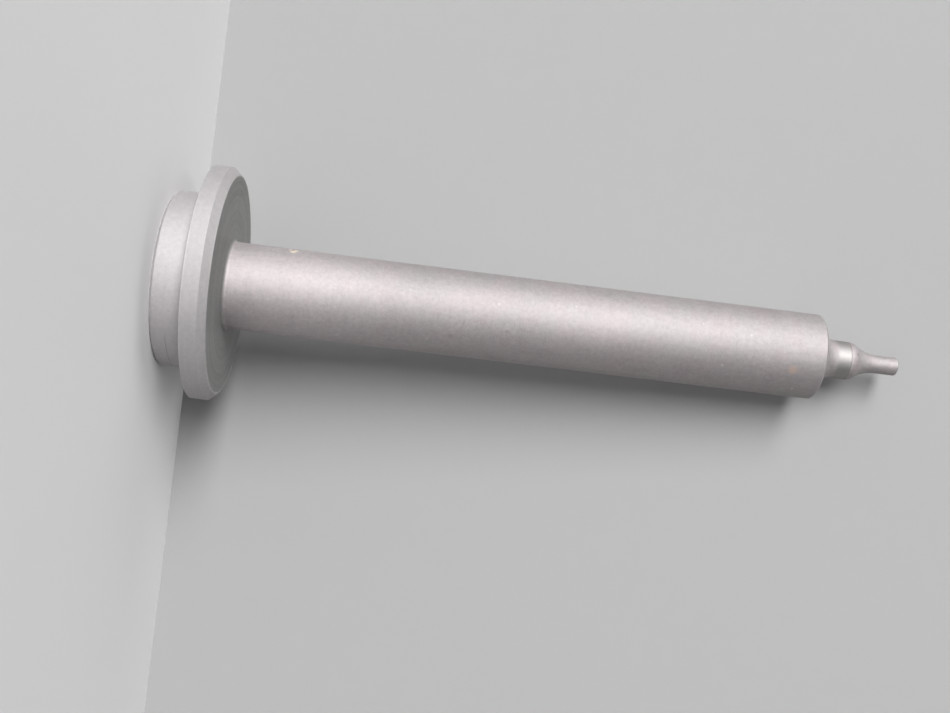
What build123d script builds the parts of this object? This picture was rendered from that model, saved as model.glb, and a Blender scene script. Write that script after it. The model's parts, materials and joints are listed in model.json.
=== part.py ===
from build123d import *

import os
from math import sqrt

# A headed pintle pin, turned from one length of round steel bar.
#
# From the head to the tip it has a short locating boss, a thin flange with a
# chamfered front edge, a long plain shank, a small ground pilot and a fine nose
# that runs out of the pilot in one hollow sweep.  The pin stands on its boss:
# the origin is at the middle of the boss's end face, and +Z runs to the tip.
# Lengths are in millimetres.

# Boss, behind the flange.
boss_diameter = 19.05
boss_length = 3.81
boss_edge_break = 0.3

# Flange, with a chamfer on the side of the shank.
flange_diameter = 25.4
flange_thickness = 2.54
flange_chamfer = 0.8

# Shank, which runs in the bore that the pin is fitted to.
shank_diameter = 9.525
shank_length = 65.3
shank_root_fillet = 0.45
shank_end_break = 0.2

# Pilot, ground to size, with a wide fillet where it leaves the shank.
pilot_diameter = 4.26
pilot_length = 4.2
pilot_root_fillet = 2.2
pilot_end_round = 1.2

# Nose: a hollow taper that runs tangent into a short straight land.
nose_diameter = 2.03
nose_land_length = 2.35
nose_edge_round = 0.2
taper_radius = 4.5

# Heights of the steps above the end face of the boss.
flange_back = boss_length
flange_front = flange_back + flange_thickness
shoulder = flange_front + shank_length
pilot_end = shoulder + pilot_length

# The taper is an arc tangent to the land, so its drop sets its length.
taper_drop = (pilot_diameter - nose_diameter) / 2
taper_length = sqrt(taper_radius**2 - (taper_radius - taper_drop) ** 2)
land_start = pilot_end + taper_length
tip = land_start + nose_land_length

# The fillet under the shank's end stays on its annular face.
shoulder_width = (shank_diameter - pilot_diameter) / 2 - shank_end_break
root_fillet = min(pilot_root_fillet, 0.95 * shoulder_width)

# Two edges at one height are told apart by their size.
height_slack = 0.001


def ring_at(height, diameter):
    """Pick the round edge of one diameter at one height of the pin in hand."""
    rings = edges().filter_by(GeomType.CIRCLE)
    rings = rings.filter_by_position(Axis.Z, height - height_slack, height + height_slack)
    return rings.sort_by(lambda ring: abs(2 * ring.radius - diameter))[0]


with BuildPart() as pintle_pin:
    # Half of the lengthwise section, from the axis out.
    with BuildSketch(Plane.XZ) as half_section:
        with BuildLine() as outline:
            stepped_side = Polyline(
                (0, 0),
                (boss_diameter / 2, 0),
                (boss_diameter / 2, flange_back),
                (flange_diameter / 2, flange_back),
                (flange_diameter / 2, flange_front),
                (shank_diameter / 2, flange_front),
                (shank_diameter / 2, shoulder),
                (pilot_diameter / 2, shoulder),
                (pilot_diameter / 2, pilot_end),
            )
            land = Line((nose_diameter / 2, land_start), (nose_diameter / 2, tip))
            hollow_taper = TangentArc(land @ 0, stepped_side @ 1, tangent=(0, -1))
            end_and_axis = Polyline(land @ 1, (0, tip), (0, 0))
        make_face()
    revolve(axis=Axis.Z)

    # Edges that the turning tool broke on the head and on the end of the shank.
    chamfer(ring_at(0, boss_diameter), boss_edge_break)
    chamfer(ring_at(flange_front, flange_diameter), flange_chamfer)
    chamfer(ring_at(shoulder, shank_diameter), shank_end_break)

    # Fillets that relieve the two inside corners, and rounds on the nose.
    fillet(ring_at(flange_front, shank_diameter), shank_root_fillet)
    fillet(ring_at(shoulder, pilot_diameter), root_fillet)
    fillet(ring_at(pilot_end, pilot_diameter), pilot_end_round)
    fillet(ring_at(tip, nose_diameter), nose_edge_round)

pintle_pin.part.label = "pintle_pin"

os.makedirs("parts", exist_ok=True)
export_step(pintle_pin.part, "parts/pintle_pin.step")
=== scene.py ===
import json
from math import cos, pi, radians, sin

import bpy
from mathutils import Matrix, Vector


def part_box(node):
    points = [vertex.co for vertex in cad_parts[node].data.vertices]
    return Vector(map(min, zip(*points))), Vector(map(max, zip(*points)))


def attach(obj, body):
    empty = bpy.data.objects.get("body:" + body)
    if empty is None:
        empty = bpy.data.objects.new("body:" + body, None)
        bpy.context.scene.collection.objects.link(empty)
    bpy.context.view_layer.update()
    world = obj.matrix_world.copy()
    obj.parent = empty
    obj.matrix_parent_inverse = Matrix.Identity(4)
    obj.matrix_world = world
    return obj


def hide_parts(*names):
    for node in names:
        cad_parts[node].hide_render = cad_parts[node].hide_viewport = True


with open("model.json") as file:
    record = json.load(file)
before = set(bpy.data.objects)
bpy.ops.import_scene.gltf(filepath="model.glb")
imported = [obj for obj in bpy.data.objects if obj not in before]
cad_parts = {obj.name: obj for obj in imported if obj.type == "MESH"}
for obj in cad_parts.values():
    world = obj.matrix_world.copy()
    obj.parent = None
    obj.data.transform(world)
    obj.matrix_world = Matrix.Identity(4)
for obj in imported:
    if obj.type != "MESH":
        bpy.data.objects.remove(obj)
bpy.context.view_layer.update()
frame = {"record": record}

# ---------------------------------------------------------------------------
# Camera.  A short macro lens close in front of the pin, a little below its
# middle.  The pin stands on its boss, and the camera is rolled onto its side,
# so that the pin lies across the view with its head to the left.

lens_mm = 41.34
sensor_mm = 36.0
lens_place = Vector((0.00453, -0.12035, 0.02714))
lens_lean = radians(3.20)
lens_roll = radians(96.89)
nearest_seen = 0.005
farthest_seen = 20.0

camera_data = bpy.data.cameras.new("macro_camera")
camera_data.lens = lens_mm
camera_data.sensor_width = sensor_mm
camera_data.clip_start = nearest_seen
camera_data.clip_end = farthest_seen
camera = bpy.data.objects.new("macro_camera", camera_data)
camera.matrix_world = (
    Matrix.Translation(lens_place)
    @ Matrix.Rotation(pi / 2 + lens_lean, 4, "X")
    @ Matrix.Rotation(lens_roll, 4, "Z")
)
bpy.context.scene.collection.objects.link(camera)
bpy.context.scene.camera = camera

# ---------------------------------------------------------------------------
# Pin.  One piece of round steel bar, turned in a lathe: boss, flange, shank,
# pilot and nose.  Geometry Nodes do what the lathe did: they round the corners
# of half of the lengthwise section and sweep it once round the axis.

mounts = {mount["name"]: mount for mount in frame["record"]["mounts"]}
millimetre = 0.001


def wall(name):
    """Radius, low end and high end of one plain round wall of the pin."""
    dims = mounts[name]["dims"]
    middle = mounts[name]["pos_m"][2]
    half = dims["length_mm"] * millimetre / 2
    return dims["r_mm"] * millimetre, middle - half, middle + half


boss_radius, boss_low, boss_high = wall("boss")
shank_radius, shank_low, shank_high = wall("shank")
pilot_radius, pilot_low, pilot_high = wall("pilot")
nose_radius, nose_low, nose_high = wall("nose")
flange_back = mounts["flange_back"]["pos_m"][2]
flange_front = mounts["flange_front"]["pos_m"][2]
pin_low, pin_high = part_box("pintle_pin")
flange_radius = pin_high.x
tip = pin_high.z

shank_edge_break = 0.2 * millimetre
shoulder = shank_high + shank_edge_break

# The sizes that the tree takes, each under the name of its input.
pin_sizes = {
    "Boss Radius": boss_radius,
    "Boss Edge Break": boss_low,
    "Flange Back": flange_back,
    "Flange Front": flange_front,
    "Flange Radius": flange_radius,
    "Flange Chamfer": 0.8 * millimetre,
    "Shank Radius": shank_radius,
    "Shank Fillet": shank_low - flange_front,
    "Shank Edge Break": shank_edge_break,
    "Shoulder": shoulder,
    "Pilot Radius": pilot_radius,
    "Pilot Fillet": pilot_low - shoulder,
    "Pilot Round": 1.2 * millimetre,
    "Taper Sweep": 4.5 * millimetre,
    "Nose Radius": nose_radius,
    "Land Start": nose_low,
    "Nose Round": 0.2 * millimetre,
    "Tip": tip,
    "Edge Wear": 0.05 * millimetre,
    "Ring Spacing": 0.35 * millimetre,
}


class Wire:
    """An output of a node, for use in sums written in Python."""

    def __init__(self, board, socket):
        self.board = board
        self.socket = socket

    def __add__(self, other):
        return self.board.math("ADD", self, other)

    def __radd__(self, other):
        return self.board.math("ADD", other, self)

    def __sub__(self, other):
        return self.board.math("SUBTRACT", self, other)

    def __rsub__(self, other):
        return self.board.math("SUBTRACT", other, self)

    def __mul__(self, other):
        return self.board.math("MULTIPLY", self, other)

    def __rmul__(self, other):
        return self.board.math("MULTIPLY", other, self)

    def __truediv__(self, other):
        return self.board.math("DIVIDE", self, other)

    def __rtruediv__(self, other):
        return self.board.math("DIVIDE", other, self)

    def __pow__(self, other):
        return self.board.math("POWER", self, other)

    def also(self, output):
        """Another output of the same node."""
        return Wire(self.board, self.socket.node.outputs[output])


class Board:
    """A tree that nodes are laid out on."""

    def __init__(self, tree):
        self.tree = tree
        tree.nodes.clear()

    def node(self, kind, settings=None, values=(), output=0):
        """Add a node: its settings first, then the values or wires of its inputs."""
        made = self.tree.nodes.new(kind)
        for name, value in (settings or {}).items():
            if name == "choices":
                while len(made.index_switch_items) < value:
                    made.index_switch_items.new()
            else:
                setattr(made, name, value)
        pairs = values.items() if isinstance(values, dict) else enumerate(values)
        for key, value in pairs:
            if isinstance(value, Wire):
                self.tree.links.new(value.socket, made.inputs[key])
            else:
                made.inputs[key].default_value = value
        return Wire(self, made.outputs[output]) if made.outputs else None

    def math(self, operation, *values):
        """A sum of numbers or wires."""
        return self.node("ShaderNodeMath", {"operation": operation}, values)


pin_tree = bpy.data.node_groups.new("turned_pin", "GeometryNodeTree")
sockets = pin_tree.interface
sockets.new_socket("Geometry", in_out="OUTPUT", socket_type="NodeSocketGeometry")
for size_name in pin_sizes:
    sockets.new_socket(size_name, in_out="INPUT", socket_type="NodeSocketFloat")
sockets.new_socket("Turn Steps", in_out="INPUT", socket_type="NodeSocketInt")
sockets.new_socket("Finish", in_out="INPUT", socket_type="NodeSocketMaterial")

lathe = Board(pin_tree)
size_of = lathe.node("NodeGroupInput")
size = {name: size_of.also(name) for name in pin_sizes}
turn_steps = size_of.also("Turn Steps")
finish = size_of.also("Finish")

# The round of the pilot and the sweep of the taper meet on one slanting line.
# Its slope follows from how far the pin drops between pilot and nose.
drop = size["Pilot Radius"] - size["Nose Radius"]
both_bends = size["Pilot Round"] + size["Taper Sweep"]
half_slope = lathe.math("ARCSINE", lathe.math("SQRT", drop / (2.0 * both_bends)))
half_tangent = lathe.math("TANGENT", half_slope)
slant = both_bends * half_tangent
taper_corner = size["Land Start"] - size["Taper Sweep"] * half_tangent
pilot_corner = taper_corner - slant * lathe.math("COSINE", 2.0 * half_slope)

# Corners of the half section: each as its radius and height, the round that it
# gets, and the steps in that round.
edge_steps = 8
bend_steps = 24
edge = (size["Edge Wear"], edge_steps)
corners = [
    (0.0, 0.0, 0.0, edge_steps),
    (size["Boss Radius"] - size["Boss Edge Break"], 0.0, *edge),
    (size["Boss Radius"], size["Boss Edge Break"], *edge),
    (size["Boss Radius"], size["Flange Back"], *edge),
    (size["Flange Radius"], size["Flange Back"], *edge),
    (size["Flange Radius"], size["Flange Front"] - size["Flange Chamfer"], *edge),
    (size["Flange Radius"] - size["Flange Chamfer"], size["Flange Front"], *edge),
    (size["Shank Radius"], size["Flange Front"], size["Shank Fillet"], bend_steps),
    (size["Shank Radius"], size["Shoulder"] - size["Shank Edge Break"], *edge),
    (size["Shank Radius"] - size["Shank Edge Break"], size["Shoulder"], *edge),
    (size["Pilot Radius"], size["Shoulder"], size["Pilot Fillet"], bend_steps),
    (size["Pilot Radius"], pilot_corner, size["Pilot Round"], bend_steps),
    (size["Nose Radius"], taper_corner, size["Taper Sweep"], bend_steps),
    (size["Nose Radius"], size["Tip"], size["Nose Round"], edge_steps),
    (0.0, size["Tip"], 0.0, edge_steps),
]
corner_count = len(corners)
corner_index = lathe.node("GeometryNodeInputIndex")


def by_corner(kind, choices):
    """A field that gives each corner its own value."""
    return lathe.node(
        "GeometryNodeIndexSwitch",
        {"data_type": kind, "choices": corner_count},
        (corner_index, *choices),
    )


corner_places = by_corner(
    "VECTOR",
    [
        lathe.node("ShaderNodeCombineXYZ", None, {"X": out, "Z": up})
        for out, up, bend, steps in corners
    ],
)
corner_bends = by_corner("FLOAT", [bend for out, up, bend, steps in corners])
corner_steps = by_corner("INT", [steps for out, up, bend, steps in corners])

points = lathe.node(
    "GeometryNodeMeshLine",
    {"mode": "OFFSET", "count_mode": "TOTAL"},
    {"Count": corner_count},
)
points = lathe.node(
    "GeometryNodeSetPosition", None, {"Geometry": points, "Position": corner_places}
)
outline = lathe.node("GeometryNodeMeshToCurve", None, (points,))
outline = lathe.node(
    "GeometryNodeFilletCurve",
    {"mode": "POLY"},
    {"Curve": outline, "Count": corner_steps, "Radius": corner_bends},
)

# Long straight stretches get rings of their own, so that light slides evenly
# along them.
here = lathe.node("GeometryNodeInputPosition")
following = lathe.node(
    "GeometryNodeFieldAtIndex",
    {"data_type": "FLOAT_VECTOR", "domain": "POINT"},
    {"Index": corner_index + 1.0, "Value": here},
)
stretch = lathe.node(
    "ShaderNodeVectorMath", {"operation": "DISTANCE"}, (here, following), "Value"
)
rings = lathe.math("FLOOR", stretch / size["Ring Spacing"])
outline = lathe.node("GeometryNodeSubdivideCurve", None, {"Curve": outline, "Cuts": rings})

# One turn: a grid as long as the outline and as wide as a turn, bent round the
# axis.  Its seam and its two poles are then closed.
seam_gap = 1e-7
outline_size = lathe.node(
    "GeometryNodeAttributeDomainSize", {"component": "CURVE"}, (outline,), "Point Count"
)
columns = turn_steps + 1.0
sheet = lathe.node(
    "GeometryNodeMeshGrid",
    None,
    {"Size X": 1.0, "Size Y": 1.0, "Vertices X": outline_size, "Vertices Y": columns},
)
ring = lathe.math("FLOOR", corner_index / columns)
turn = (corner_index - ring * columns) / turn_steps * (2.0 * pi)
section_point = lathe.node(
    "GeometryNodeSampleIndex",
    {"data_type": "FLOAT_VECTOR", "domain": "POINT"},
    {"Geometry": outline, "Value": here, "Index": ring},
)
section_radius = lathe.node("ShaderNodeSeparateXYZ", None, (section_point,), "X")
section_height = section_radius.also("Z")
swept = lathe.node(
    "ShaderNodeCombineXYZ",
    None,
    (
        section_radius * lathe.math("COSINE", turn),
        section_radius * lathe.math("SINE", turn),
        section_height,
    ),
)
turned = lathe.node("GeometryNodeSetPosition", None, {"Geometry": sheet, "Position": swept})
turned = lathe.node(
    "GeometryNodeMergeByDistance", None, {"Geometry": turned, "Distance": seam_gap}
)
turned = lathe.node(
    "GeometryNodeSetShadeSmooth", None, {"Geometry": turned, "Shade Smooth": True}
)
turned = lathe.node("GeometryNodeRealizeInstances", None, (turned,))
turned = lathe.node("GeometryNodeSetMaterial", None, {"Geometry": turned, "Material": finish})
lathe.node("NodeGroupOutput", None, (turned,))

# Bead-blasted steel: matt and faintly warm, with a very fine grain over faint
# turning marks.  The band round the pilot was ground smooth after blasting.  The
# edges are brightened partly by wear and partly by painted highlight, and the head
# and the front of the flange carry painted light and shade.  Heights and radii are
# in millimetres here.
steel = bpy.data.materials.new("bead_blasted_steel")
steel.use_nodes = True
blast = Board(steel.node_tree)
spot = blast.node("ShaderNodeTexCoord", None, (), "Object")
in_mm = blast.node(
    "ShaderNodeVectorMath", {"operation": "SCALE"}, {"Vector": spot, "Scale": 1000.0}
)
across = blast.node("ShaderNodeSeparateXYZ", None, (in_mm,), "X")
height = across.also("Z")
radius = blast.math("SQRT", across * across + across.also("Y") * across.also("Y"))


def rise(value, start, end):
    """A soft step from 0 at the start to 1 at the end, which may be the lower one."""
    low, high = min(start, end), max(start, end)
    step = {"Value": value, "From Min": low, "From Max": high}
    step["To Min"], step["To Max"] = (0.0, 1.0) if start < end else (1.0, 0.0)
    return blast.node("ShaderNodeMapRange", {"interpolation_type": "SMOOTHSTEP"}, step)


def band(value, low, high, soft):
    """A band between two values, with soft sides."""
    return rise(value, low - soft, low) * rise(value, high + soft, high)


def noise(cells_per_mm, detail):
    """Even noise between 0 and 1, with so many cells to the millimetre."""
    return blast.node(
        "ShaderNodeTexNoise",
        {"noise_dimensions": "3D"},
        {"Vector": in_mm, "Scale": cells_per_mm, "Detail": detail, "Roughness": 0.55},
    )


def tint(colour, other, factor):
    """One colour laid on another."""
    return blast.node(
        "ShaderNodeMix", {"data_type": "RGBA"}, {0: factor, 6: colour, 7: other}, 2
    )


grain = noise(5.5, 2.0)
pits = noise(2.2, 1.0)
mottle = noise(0.55, 3.0)
cloud = noise(0.11, 2.0)
rings_per_mm = 2.6
ring_place = blast.node(
    "ShaderNodeCombineXYZ", None, (radius * rings_per_mm, 0.0, height * rings_per_mm)
)
rings = blast.node(
    "ShaderNodeTexNoise",
    None,
    {"Vector": ring_place, "Scale": 1.0, "Detail": 2.0, "Roughness": 0.7},
)

# The ground band, with the fine line where the grinding stopped.
ground = band(height, 73.75, 75.2, 0.06) * rise(height, 73.5, 74.1)
ground_line = band(height, 75.26, 75.30, 0.05)

# Edges brightened partly by wear and partly by painted highlight; the lowest edge of
# the boss is painted lighter against the shade it sits in.  Each as its height, its
# radius and how much.
brightened_edges = [
    (0.15, 9.40, 1.0),
    (3.81, 12.70, 0.5),
    (6.35, 11.90, 1.0),
    (71.65, 4.60, 0.35),
    (81.10, 0.95, 1.0),
]
wear_and_painted_highlight = 0.0
for edge_height, edge_radius, brightening_here in brightened_edges:
    away = blast.math("SQRT", (height - edge_height) ** 2.0 + (radius - edge_radius) ** 2.0)
    wear_and_painted_highlight = wear_and_painted_highlight + brightening_here * rise(away, 0.22, 0.05)
wear_and_painted_highlight = wear_and_painted_highlight * (0.45 + 0.55 * rise(mottle, 0.42, 0.6))

# Small marks: light dust and bruises, dark bruises, one cream smear, one rust
# stain and one pit, each as its height, its turn from the lens in degrees, and
# its reach.
shank_wall = 4.76
nose_wall = 2.0
light_marks = [
    (60.3, 28.0, 0.25), (18.7, 57.0, 0.30), (63.0, -16.0, 0.17), (35.5, -16.0, 0.18),
    (68.7, 54.0, 0.28), (43.8, -26.0, 0.16), (57.7, -24.0, 0.14), (26.0, -21.0, 0.13),
    (28.3, 43.0, 0.16), (47.2, 171.0, 0.20), (22.4, 214.0, 0.22), (61.7, 128.0, 0.18),
]
dark_marks = [
    (30.8, 34.0, 0.36), (50.1, -54.0, 0.26), (17.3, -63.0, 0.22), (36.7, 18.0, 0.26),
    (45.1, -71.0, 0.32), (54.6, 152.0, 0.26), (31.5, 236.0, 0.24),
]
cream_smear = [(12.95, -64.5, 0.44), (13.25, -69.5, 0.38), (12.6, -72.0, 0.26)]
rust_stain = [(68.0, 23.0, 0.75)]
nose_pit = [(76.0, -23.0, 0.16)]


def marked(marks, wall=shank_wall):
    """How far a place lies inside any of the marks on a round wall."""
    total = 0.0
    for mark_height, turn_degrees, reach in marks:
        turned_to = radians(turn_degrees)
        middle = (wall * sin(turned_to), -wall * cos(turned_to), mark_height)
        away = blast.node(
            "ShaderNodeVectorMath", {"operation": "DISTANCE"}, (in_mm, middle), "Value"
        )
        total = total + rise(away, reach, 0.25 * reach)
    return total


# A fine dark line part of the way round the boss.
turn_from_lens = blast.math("ARCTAN2", across, across.also("Y") * -1.0)
boss_line = band(height, 1.63, 1.67, 0.05) * band(turn_from_lens, 0.85, 1.35, 0.25)
boss_line = boss_line * rise(radius, 9.3, 9.5)

# The front of the flange is painted darker than the blasted walls: painted shade.
front_face = rise(height, 6.30, 6.34) * rise(height, 6.72, 6.38) * rise(radius, 11.87, 11.80)

# The head is painted a little paler than the shank, and the boss paler still:
# painted light.  Along the shank the painted light fades out slowly.
head = rise(radius, 5.6, 6.4) * (1.0 - front_face)
painted_light_boss = rise(height, 4.0, 3.6) * head
painted_light_shank_root = rise(height, 30.0, 9.0)

# The steel's own colour, then painted light and shade, all broken up by the grain.
warm_steel = (0.502, 0.461, 0.468, 1.0)
cool_steel = (0.490, 0.464, 0.466, 1.0)
steel_colour = tint(warm_steel, cool_steel, rise(noise(0.35, 2.0), 0.36, 0.64))
# Painted light on the head, the boss and the root of the shank, and painted shade on the
# front of the flange.
for colour, where in [
    ((0.590, 0.547, 0.555, 1.0), painted_light_shank_root),
    ((0.57, 0.55, 0.555, 1.0), head),
    ((0.62, 0.60, 0.61, 1.0), painted_light_boss),
    ((0.33, 0.33, 0.325, 1.0), front_face),
]:
    steel_colour = tint(steel_colour, colour, where)
uneven = 0.0
for pattern, share in [
    (grain, 0.34), (pits, 0.20), (mottle, 0.11), (cloud, 0.14), (rings, 0.08),
]:
    uneven = uneven + share * (pattern - 0.5)
surface_grey = 1.0 + uneven * (1.0 - 0.35 * head) + 0.35 * (rings - 0.5) * front_face
steel_colour = blast.node(
    "ShaderNodeVectorMath",
    {"operation": "SCALE"},
    {"Vector": steel_colour, "Scale": surface_grey},
)

# What handling, grinding and small marks leave on it, with the painted highlight
# along the edges.
for colour, where in [
    ((0.66, 0.645, 0.64, 1.0), 0.6 * wear_and_painted_highlight),
    ((0.42, 0.41, 0.40, 1.0), 0.85 * ground),
    ((0.20, 0.19, 0.18, 1.0), 0.55 * ground_line),
    ((0.70, 0.68, 0.68, 1.0), 0.5 * marked(light_marks)),
    ((0.36, 0.34, 0.34, 1.0), 0.5 * marked(dark_marks)),
    ((1.0, 0.90, 0.74, 1.0), 0.9 * marked(cream_smear)),
    ((0.67, 0.51, 0.44, 1.0), 0.6 * marked(rust_stain)),
    ((0.22, 0.20, 0.20, 1.0), 0.6 * (marked(nose_pit, nose_wall) + 0.6 * boss_line)),
]:
    steel_colour = tint(steel_colour, colour, where)

dullness = 0.74 + 0.04 * head + 0.10 * (grain - 0.5) + 0.05 * (mottle - 0.5) - 0.16 * wear_and_painted_highlight
dullness = dullness * (1.0 - ground) + 0.63 * ground
relief = grain + 0.9 * pits + 0.8 * rings * (1.0 - ground)
tiny_bumps = blast.node(
    "ShaderNodeBump", None, {"Strength": 0.6, "Distance": 0.02 * millimetre, "Height": relief}
)
surface = blast.node(
    "ShaderNodeBsdfPrincipled",
    None,
    {
        "Base Color": steel_colour,
        "Metallic": 1.0,
        "Roughness": dullness,
        "Specular Tint": (0.15, 0.15, 0.15, 1.0),
        "Normal": tiny_bumps,
    },
)
blast.node("ShaderNodeOutputMaterial", None, (surface,))

pin_seed = bpy.data.objects.new("pin_seed", bpy.data.meshes.new("pin_seed"))
bpy.context.scene.collection.objects.link(pin_seed)
turning = pin_seed.modifiers.new("turning", "NODES")
turning.node_group = pin_tree
socket_id = {
    item.name: item.identifier for item in sockets.items_tree if item.in_out == "INPUT"
}
for size_name, value in pin_sizes.items():
    turning[socket_id[size_name]] = value
turning[socket_id["Turn Steps"]] = 180
turning[socket_id["Finish"]] = steel

turned_pin = pin_seed.evaluated_get(bpy.context.evaluated_depsgraph_get())
pin = bpy.data.objects.new("pin", bpy.data.meshes.new_from_object(turned_pin))
pin.data.materials.clear()
pin.data.materials.append(steel)
bpy.context.scene.collection.objects.link(pin)
bpy.data.objects.remove(pin_seed)

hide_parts("pintle_pin")
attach(pin, "root")

# ---------------------------------------------------------------------------
# Floor and card.  The pin stands on a pale floor.  A pale card leans against it
# from behind, on the rim of the flange and on the end of the shank, and takes
# its shadow.  From behind, the card can't be seen and lets light through.

floor_reach = 4.0
floor_grey = 0.82
card_half_width = 1.5
card_height = 0.7
card_grey = 0.36
card_lean = (flange_radius - shank_radius) / (shank_high - flange_front)
card_foot = flange_radius + card_lean * flange_front
card_head = card_foot - card_lean * card_height


def flat(name, corners, material):
    """A flat piece of the set, facing where its corners run round anticlockwise."""
    mesh = bpy.data.meshes.new(name)
    mesh.from_pydata(corners, [], [(0, 1, 2, 3)])
    mesh.materials.append(material)
    made = bpy.data.objects.new(name, mesh)
    bpy.context.scene.collection.objects.link(made)
    return made


floor_paint = bpy.data.materials.new("floor_paint")
floor_paint.use_nodes = True
board = Board(floor_paint.node_tree)
matt = board.node(
    "ShaderNodeBsdfDiffuse", None, {"Color": (floor_grey, floor_grey, floor_grey, 1.0)}
)
board.node("ShaderNodeOutputMaterial", None, (matt,))

card_paint = bpy.data.materials.new("card_paint")
card_paint.use_nodes = True
board = Board(card_paint.node_tree)
behind = board.node("ShaderNodeNewGeometry", None, (), "Backfacing")
shading = board.node("ShaderNodeLightPath", None, (), "Is Shadow Ray")
matt = board.node(
    "ShaderNodeBsdfDiffuse", None, {"Color": (card_grey, card_grey, card_grey, 1.0)}
)
clear = board.node("ShaderNodeBsdfTransparent")
unseen = board.math("MAXIMUM", behind, shading)
seen = board.node("ShaderNodeMixShader", None, (unseen, matt, clear))
board.node("ShaderNodeOutputMaterial", None, (seen,))

floor = flat(
    "floor",
    [
        (-floor_reach, -floor_reach, 0.0),
        (floor_reach, -floor_reach, 0.0),
        (floor_reach, floor_reach, 0.0),
        (-floor_reach, floor_reach, 0.0),
    ],
    floor_paint,
)
card = flat(
    "card",
    [
        (-card_half_width, card_foot, 0.0),
        (card_half_width, card_foot, 0.0),
        (card_half_width, card_head, card_height),
        (-card_half_width, card_head, card_height),
    ],
    card_paint,
)

# ---------------------------------------------------------------------------
# Light.  A wide soft box with a honeycomb in front and to one side, a weaker one
# overhead on the same side, a low strip behind for the far side, and a little
# even light all round.

box_distance = 1.5
open_front = 180.0
honeycomb = 80.0
even_light = 0.08


def soft_box(name, turn_degrees, rise_degrees, width, height, watts, fan_degrees):
    """A soft box aimed at the middle of the pin, turned from the lens towards +X."""
    data = bpy.data.lights.new(name, "AREA")
    data.shape = "RECTANGLE"
    data.size = width
    data.size_y = height
    data.energy = watts
    data.spread = radians(fan_degrees)
    lamp = bpy.data.objects.new(name, data)
    lamp.matrix_world = (
        Matrix.Translation((0.0, 0.0, tip / 2))
        @ Matrix.Rotation(radians(turn_degrees), 4, "Z")
        @ Matrix.Rotation(radians(90.0 - rise_degrees), 4, "X")
        @ Matrix.Translation((0.0, 0.0, box_distance))
    )
    bpy.context.scene.collection.objects.link(lamp)


soft_box("key_light", -31.0, 10.0, 1.15, 0.5, 7.5, honeycomb)
soft_box("top_light", -70.0, 60.0, 1.2, 1.2, 4.5, open_front)
soft_box("back_light", 180.0, 0.0, 0.5, 0.06, 12.0, open_front)

world = bpy.data.worlds.new("studio")
world.use_nodes = True
studio = Board(world.node_tree)
around = studio.node(
    "ShaderNodeBackground",
    None,
    {"Color": (even_light, even_light, even_light, 1.0), "Strength": 1.0},
)
studio.node("ShaderNodeOutputWorld", None, (around,))
bpy.context.scene.world = world

bpy.context.scene.view_settings.view_transform = "Standard"
